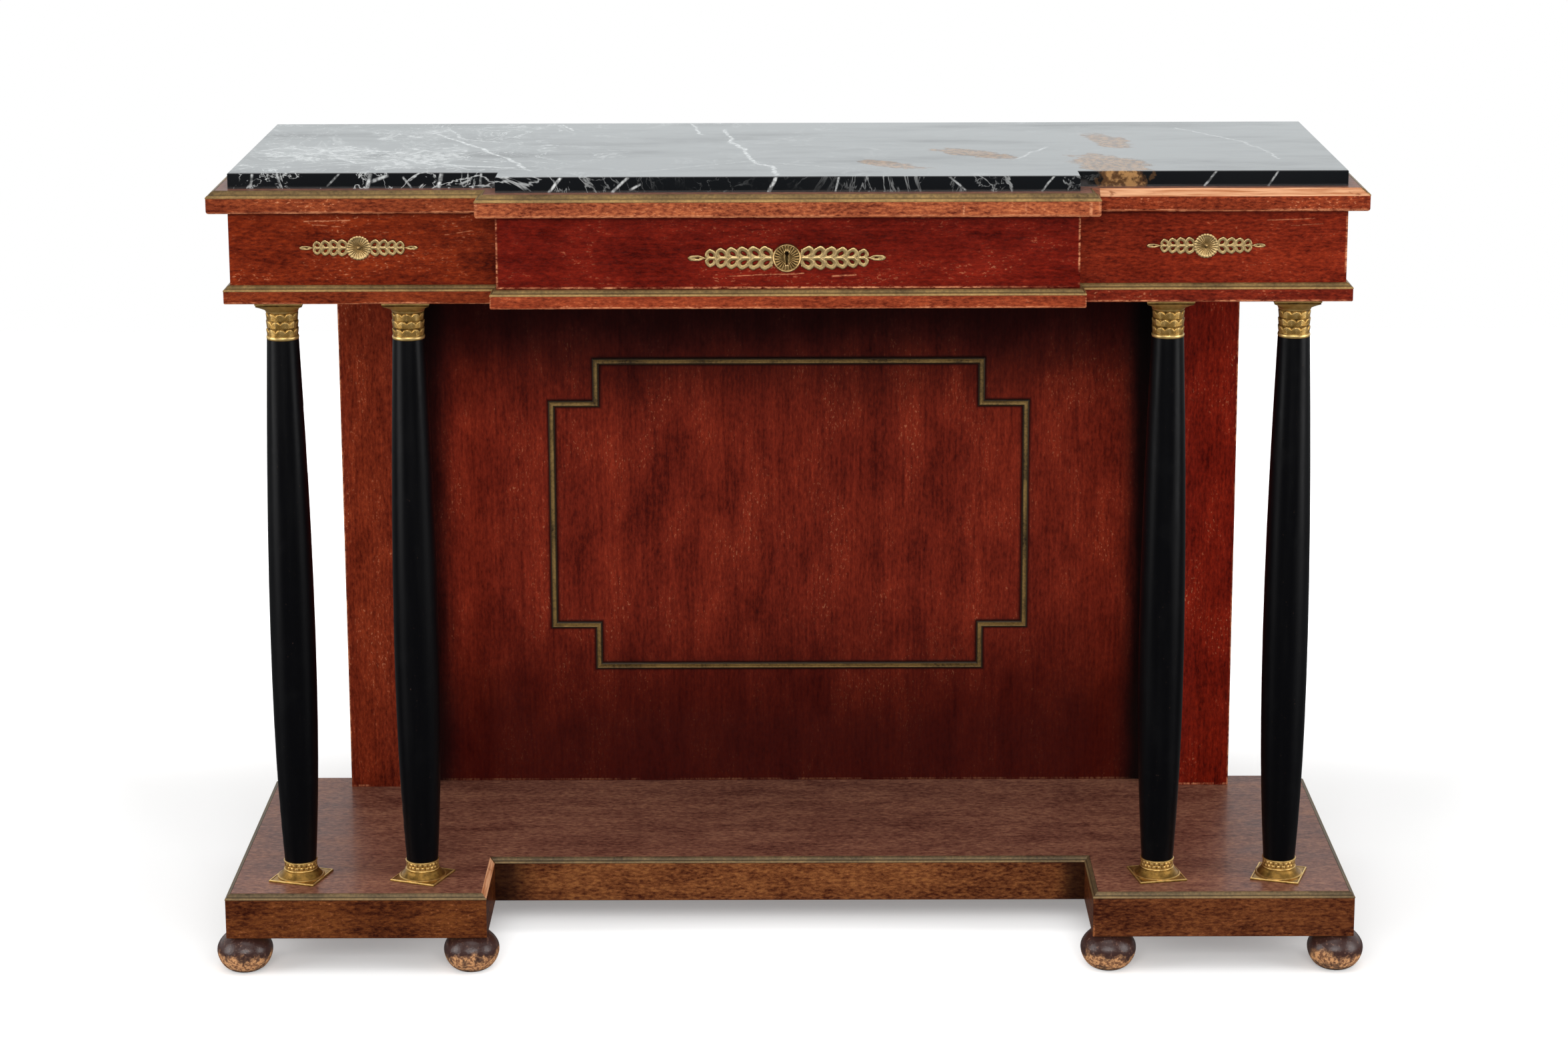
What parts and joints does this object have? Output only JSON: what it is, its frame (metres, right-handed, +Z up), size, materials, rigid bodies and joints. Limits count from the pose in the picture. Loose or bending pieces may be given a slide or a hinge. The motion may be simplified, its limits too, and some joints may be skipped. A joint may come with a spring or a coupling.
{
  "type": "pier table",
  "caption": "Breakfront pier table: a marble slab on a frieze with a locking drawer, on turned columns and a panelled back over a recessed platform with bun feet.",
  "frame": {"origin": "on the floor, under the middle of the table's overall width and depth", "axes": "+X to the right along the table's length, +Y to the back, towards the wall, +Z up"},
  "size_m": [1.4984, 0.498, 1.0506],
  "materials": {
    "marble": "polished black marble with white veins and golden patches",
    "mahogany": "french-polished mahogany veneer, worn",
    "carcase_wood": "plain secondary wood",
    "ebonised": "black polished lacquer",
    "foot_lacquer": "dark lacquer worn to brown at the bottom",
    "gilt_bronze": "gilt bronze, rubbed",
    "brass_strip": "dull olive brass",
    "lock_brass": "brass",
    "lock_steel": "bright iron"
  },
  "bodies": {
    "carcase": {"marble_top": "marble", "top_board": "mahogany", "cornice_left": "mahogany", "cornice_center": "mahogany", "cornice_right": "mahogany", "frieze_front_left": "mahogany", "frieze_front_right": "mahogany", "frieze_side_left": "mahogany", "frieze_side_right": "mahogany", "drawer_top_rail": "mahogany", "drawer_partition_left": "mahogany", "drawer_partition_right": "mahogany", "architrave_left": "mahogany", "architrave_center": "mahogany", "architrave_right": "mahogany", "soffit_board": "mahogany", "back_panel": "mahogany", "stile_left": "mahogany", "stile_right": "mahogany", "base_deck": "mahogany", "base_fascia_left": "mahogany", "base_fascia_recess": "mahogany", "base_fascia_right": "mahogany", "frieze_back_rail": "carcase_wood", "drawer_runners": "carcase_wood", "drawer_kickers": "carcase_wood", "base_back_rail": "carcase_wood", "base_corner_blocks": "carcase_wood", "cornice_brass": "brass_strip", "architrave_brass": "brass_strip", "base_brass": "brass_strip", "panel_frame_brass": "brass_strip", "side_mount_left": "gilt_bronze", "side_mount_right": "gilt_bronze", "column_outer_left_shaft": "ebonised", "column_outer_left_capital": "gilt_bronze", "column_outer_left_base": "gilt_bronze", "foot_outer_left": "foot_lacquer", "column_inner_left_shaft": "ebonised", "column_inner_left_capital": "gilt_bronze", "column_inner_left_base": "gilt_bronze", "foot_inner_left": "foot_lacquer", "column_inner_right_shaft": "ebonised", "column_inner_right_capital": "gilt_bronze", "column_inner_right_base": "gilt_bronze", "foot_inner_right": "foot_lacquer", "column_outer_right_shaft": "ebonised", "column_outer_right_capital": "gilt_bronze", "column_outer_right_base": "gilt_bronze", "foot_outer_right": "foot_lacquer", "feet_rear": "foot_lacquer"},
    "drawer": {"drawer_front": "mahogany", "drawer_side_left": "carcase_wood", "drawer_side_right": "carcase_wood", "drawer_back": "carcase_wood", "drawer_bottom": "carcase_wood", "drawer_lock_case": "lock_brass", "drawer_escutcheon": "gilt_bronze"},
    "bolt": {"lock_bolt": "lock_steel"}
  },
  "joints": [
    {"name": "drawer_slide", "type": "slide", "parent": "carcase", "child": "drawer", "axis": [0, -1, 0], "range_m": [0, 0.3]},
    {"name": "bolt_slide", "type": "slide", "parent": "drawer", "child": "bolt", "axis": [0, 0, 1], "range_m": [0, 0.008]}
  ]
}
